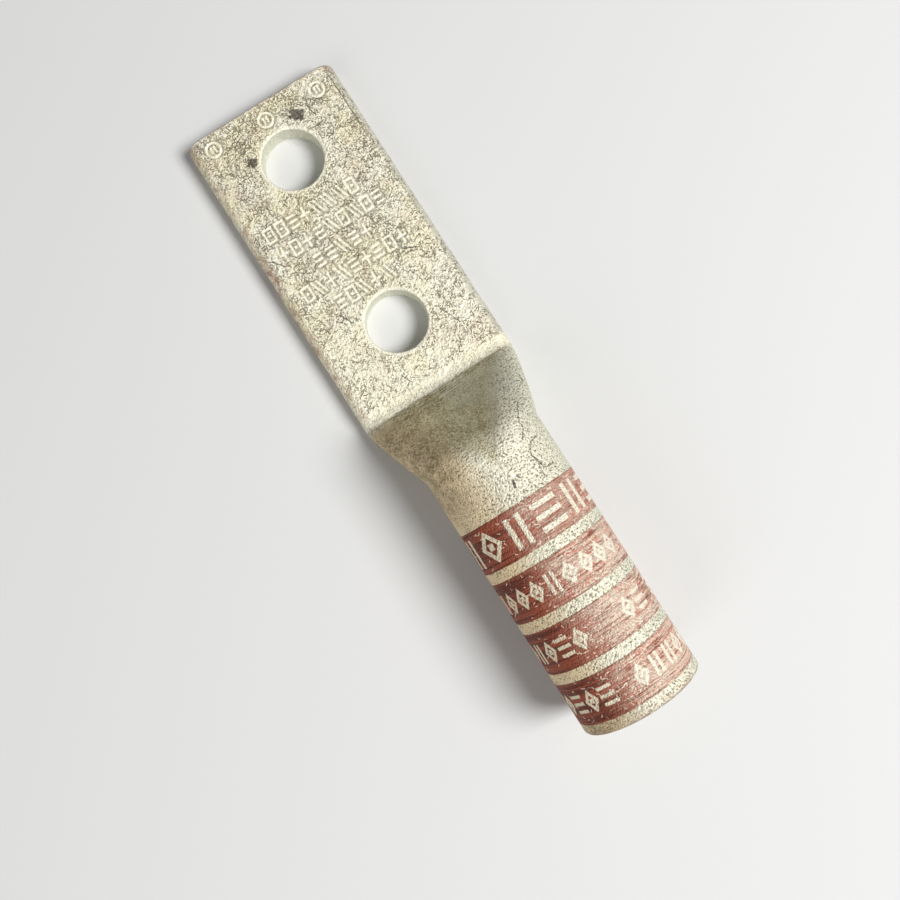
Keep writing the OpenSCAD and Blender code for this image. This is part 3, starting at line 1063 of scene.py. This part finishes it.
# From here the dirt mask also carries the brim's painted shade
dirt = most_of([dirt, halo * 0.55, brim * 0.55, *dark_lines])
tell("grime")

# %% Marks of use: copper, bare metal, painted highlights, and rims darkened by dirt and painted shade
PIT_AND_SHADE, GRIME = rgb(0.13, 0.10, 0.048), rgb(0.055, 0.047, 0.035)
CLEAN_AND_HIGHLIGHT, WALL_GREY = rgb(1.0, 0.965, 0.79), rgb(0.76, 0.76, 0.63)
COPPER, RIM_BROWN = rgb(0.42, 0.245, 0.175), rgb(0.27, 0.20, 0.15)

rubbed_stretch = x.ramp(31, 34) * x.ramp(41, 37) * rubs.ramp(0.35, 0.5)
bare_side = left_edge * (rubs.ramp(0.47, 0.62) * 0.60 + rubbed_stretch * 0.6)
corner_far = far(0, -TONGUE_W / 2).least(far(0, TONGUE_W / 2))
bare_corner = corner_far.ramp(4.0, 0.8) * rubs.ramp(0.3, 0.55) * 0.6
bare_end = x.ramp(1.1, 0.2) * rubs.ramp(0.4, 0.6) * 0.45
bare_mouth = x.ramp(LENGTH - 2.4, LENGTH - 0.4) * rubs.ramp(0.40, 0.58) * (0.18 + 0.17 * outside)
# At the mouth's outer rounding the rim is darkened partly by dirt and partly by painted shade
rim_dirt_and_shade = x.ramp(LENGTH - 0.9, LENGTH - 0.2) * (0.25 + 0.45 * rubs.ramp(0.35, 0.6)) * outside
skin_colour = tin.layers(
    skin_colour,
    # Pits, strokes and dirt, with the painted shade of the stamps' brim, in one dark colour
    (dirt * 0.92, PIT_AND_SHADE),
    (grime, GRIME),
    # Pale stamped grooves, partly clean metal and partly a painted highlight for the lit sides of the
    # strokes; a burr; painted sheen lines
    (most_of([stamp * 0.85, burr, painted_sheen_lines * 0.6]), CLEAN_AND_HIGHLIGHT),
    (most_of([bare_side, bare_corner, bare_end, bare_mouth]), COPPER),
    # Dark rims: painted shade on the free end's rolled edge, and dirt with painted shade at the mouth
    ((x.ramp(0.32, 0.08) * 0.7).most(rim_dirt_and_shade), RIM_BROWN),
    (hole_far.ramp(HOLE_R + 0.95, HOLE_R + 0.45) * 0.6, CLEAN_AND_HIGHLIGHT),
    (hole_far.ramp(HOLE_R + 0.25, HOLE_R), WALL_GREY),
)
tell("marks of use")

# %% [markdown]
# ## Ink
# Four bands of red-brown ink run round the barrel, as a colour code for the crimping die. Plain shapes
# are left bare in them. On the left the ink lies thick. Towards the right, where the lug was handled, it
# is thin and salmon-coloured, and worn through in grains and in fine lines that follow the turning. So
# ink is a mask made from band, shapes and wear, and its colour depends on how thick it lies.

# %% Ink: bands
BAND_FIRST, BAND_PITCH, BAND_HALF, BANDS = 113.35, 12.19, 4.85, 4
BAND_SOFT, BAND_STRAY = 0.08, 0.35

band = (x - (BAND_FIRST - BAND_PITCH / 2)) / BAND_PITCH
band_number = band.floor()
across = (band.fraction() - 0.5) * BAND_PITCH
ragged = tin.noise(shifted(7), 1.6, 2, 0.5) - 0.5
from_middle = abs(across) + ragged * BAND_STRAY
printed = from_middle.ramp(BAND_HALF + BAND_SOFT, BAND_HALF - BAND_SOFT) * outside
printed = printed * band_number.over(-0.5) * band_number.under(BANDS - 0.5)
print("ink bands:", BANDS, "from %.1f to %.1f"
      % (BAND_FIRST - BAND_HALF, BAND_FIRST + (BANDS - 1) * BAND_PITCH + BAND_HALF))

# %% Ink: bare shapes in the bands
ROUND = 2 * np.pi * BARREL_R
# The first band holds fewer and larger shapes than the others
FIRST_SHAPES, FIRST_HIGH, FIRST_STROKE = 12, 3.2, 0.56
OTHER_SHAPES, OTHER_HIGH, OTHER_STROKE = 22, 2.15, 0.36
# A cell's random number picks its shape: a lozenge below the first of these, then bars, dashes or none
BARS_FROM, DASHES_FROM, NONE_FROM = 0.42, 0.66, 0.86
FAR_FROM_INK = 9.0

is_first = band_number.under(0.5)
pitch = tin.blend(is_first, ROUND / OTHER_SHAPES, ROUND / FIRST_SHAPES)
half_high = tin.blend(is_first, OTHER_HIGH, FIRST_HIGH)
half_wide = pitch * 0.37
stroke = tin.blend(is_first, OTHER_STROKE, FIRST_STROKE)
ink_cell = arc / pitch + 0.37 * band_number
pick_place = tin.vector(ink_cell.floor(), band_number, 0.5)
pick = tin.node("ShaderNodeTexWhiteNoise", {"noise_dimensions": "3D"}, {"Vector": pick_place})
a, b = abs(across), abs(ink_cell.fraction() - 0.5) * pitch
lozenge = abs(a / half_high + b / half_wide - 0.9) * half_wide * 0.85
lozenge = lozenge.least(a.most(b) - 0.2)
two_bars = abs(b - 0.5 * half_wide).most(a - 0.9 * half_high)
dashes = abs(a - half_high * 0.8).least(a).most(b - 0.9 * half_wide)
shape = tin.blend(pick.over(BARS_FROM), lozenge, two_bars)
shape = tin.blend(pick.over(DASHES_FROM), shape, dashes)
shape = tin.blend(pick.over(NONE_FROM), shape, FAR_FROM_INK)
cut = (shape + ragged * 0.3).ramp(stroke + 0.10, stroke - 0.10)
print("shapes round the first band: %d, round the others: %d" % (FIRST_SHAPES, OTHER_SHAPES))


# %% Ink: lines of the turning, and wear
def turned_noise(per_x, per_arc, layer, detail, rough):
    """A noise that is stretched round the barrel, so that it runs in lines along the turning."""
    return tin.noise(tin.vector(x * per_x, arc * per_arc, layer), 1.0, detail, rough)


streak = turned_noise(1.5, 0.04, 0.0, 2, 0.6)
lines = crossing(turned_noise(1.25, 0.07, 6.0, 1.5, 0.5), 0.045, 0.012)
bare_lines = crossing(turned_noise(1.5, 0.09, 9.0, 1.5, 0.5), 0.045, 0.015)
band_edge = abs(from_middle - BAND_HALF + 0.2).ramp(0.22, 0.08) * coarse.ramp(0.35, 0.55)
blots = tin.noise(shifted(16), 0.22, 2, 0.5)
rubbed = turn.ramp(-0.70, 0.20) * (1 - 0.40 * is_first)
flaked = 0.10 + 0.38 * rubbed
glints = ticks(4, x, arc, 1.3, 0.15, 0.65, flaked, (0.9, 2.2)).most(ticks(5, x, arc, 0.9, 0.14, 0.4, flaked))
tell("wear of the ink")

# %% Ink: colour and cover
INK_DEEP, INK = rgb(0.135, 0.027, 0.012), rgb(0.335, 0.076, 0.036)
INK_DARK, INK_THIN = rgb(0.22, 0.058, 0.033), rgb(0.66, 0.300, 0.215)
PINK, STAINED = rgb(0.98, 0.70, 0.58), rgb(0.84, 0.68, 0.55)

ink_colour = tin.layers(
    INK_DEEP,
    (streak.ramp(0.38, 0.62), INK),
    (rubbed * (0.30 + 1.0 * streak), INK_THIN),
    (glints * 0.8, PINK),
    ((lines * 0.95).most(pits * 0.9) * rubbed, INK_DARK),
    (band_edge * 0.7, INK_DARK),
)
faded = rubbed * blots.ramp(0.46, 0.62)
worn = streak * 0.24 + grain * 0.30 + fine * 0.34 + blots * 0.12
cover = worn.ramp(0.33 + 0.125 * rubbed, 0.39 + 0.115 * rubbed).most(lines * 0.8) * (1 - 0.28 * glints)
cover = cover * (1 - 0.45 * faded * (1 - 0.7 * lines)) * (1 - 0.45 * bare_lines * rubbed)
cover = cover.most(band_edge * 0.6)
ink = printed * (1 - 0.93 * cut) * cover
base_colour = tin.layers(
    skin_colour,
    (printed * (rubbed * 0.38 + turn.ramp(0.3, 0.9) * 0.22), STAINED),
    (printed * cut * 0.45, CLEAN_AND_HIGHLIGHT),
    (ink, ink_colour),
)
tell("ink")

# %% [markdown]
# ## Gloss and relief
# Old tin is matt, with a faint gleam of metal that the ink covers. The grain that colours it also lifts
# it a little, the strokes are cut into it, and the ink follows the turning. That relief is finer than the
# mesh, so it goes through a Bump node, with heights in millimetres.

# %% Tin: surface
rough = 0.52 + 0.14 * grain + 0.10 * dirt
relief = (grain * 0.28 + fine * 0.16 + coarse * 0.14) * (1 - 0.75 * smooth)
relief = relief - strokes * on_tongue * 0.09 + (streak * 0.15 + fine * 0.10) * printed
height = tin.node("ShaderNodeBump", {}, {"Strength": 1.0, "Distance": MM, "Height": relief})
tin.shine(
    Base_Color=base_colour,
    Roughness=rough,
    Metallic=(0.22 + 0.08 * on_barrel) * (1 - ink),
    Specular_IOR_Level=0.3,
    Normal=height,
)
lug_mesh.materials.clear()
lug_mesh.materials.append(tin.material)
tell("whole finish")

# %% [markdown]
# ## Floor and light
# A pale matt floor, a large soft lamp from the right, a weak one from the lower left that opens the
# shadows, and a faint even sky: plain enough that a colour looks as it is written.

# %% Floor
FLOOR_HALF = 3.0
FLOOR_COLOUR = rgb(0.72, 0.72, 0.71)
floor_corners = [(FLOOR_HALF * a, FLOOR_HALF * b, 0) for a, b in ((-1, -1), (1, -1), (1, 1), (-1, 1))]
floor_mesh = bpy.data.meshes.new("floor")
floor_mesh.from_pydata(floor_corners, [], [(0, 1, 2, 3)])
floor = put("floor", floor_mesh)
floor_finish = Finish("pale_floor")
floor_finish.shine(Base_Color=FLOOR_COLOUR, Roughness=0.9)
floor_mesh.materials.append(floor_finish.material)
print("floor: %.0f m across" % (2 * FLOOR_HALF))

# %% Lights
LAMP_DISTANCE = 1.20
SKY_LEVEL = 0.17


def soft_light(name, direction, size, level):
    """A round soft lamp that faces the lug. At level 1 a white card that faces it renders white."""
    data = bpy.data.lights.new(name, "AREA")
    data.shape, data.size, data.energy = "DISK", size, level * (np.pi * LAMP_DISTANCE) ** 2
    lamp = put(name, data)
    lamp.location = Vector(direction).normalized() * LAMP_DISTANCE
    lamp.rotation_euler = Vector(direction).to_track_quat("Z", "Y").to_euler()
    print("%s light: %.2f W" % (name, data.energy))


soft_light("key", direction=(0.39, 0.48, 0.78), size=0.60, level=1.12)
soft_light("fill", direction=(0.35, -0.75, 0.56), size=0.80, level=0.21)

world = bpy.data.worlds.new("soft_sky")
bpy.context.scene.world = world
world.use_nodes = True
sky = world.node_tree.nodes["Background"]
sky.inputs["Color"].default_value = rgb(1, 1, 1)
sky.inputs["Strength"].default_value = SKY_LEVEL

# %% [markdown]
# ## Camera
# The camera stands where the photograph was taken, almost straight above the lug, which lies across the
# picture. The two holes, the outline and the barrel's end fix that place and the two directions of the
# picture, so they are written as they were fitted. A lens as long as the sensor is wide has about the
# field of view of a phone.

# %% Camera
CAMERA_AT = Vector((23.10, -12.79, 207.15)) * MM
RIGHT = Vector((0.5388, 0.8424, 0.0016))
UP = Vector((-0.8408, 0.5377, 0.0636))
LENS, SENSOR = 36.0, 36.0
camera_data = bpy.data.cameras.new("camera")
camera_data.lens, camera_data.sensor_width = LENS, SENSOR
camera_data.clip_start, camera_data.clip_end = 0.01, 20.0
camera = put("camera", camera_data)
back = RIGHT.cross(UP).normalized()
up = back.cross(RIGHT).normalized()
turned = Matrix((RIGHT.normalized(), up, back)).transposed().to_4x4()
camera.matrix_world = Matrix.Translation(CAMERA_AT) @ turned
bpy.context.scene.camera = camera
bpy.context.scene.view_settings.view_transform = "Standard"
print("camera %.1f mm above the floor" % (CAMERA_AT.z / MM))
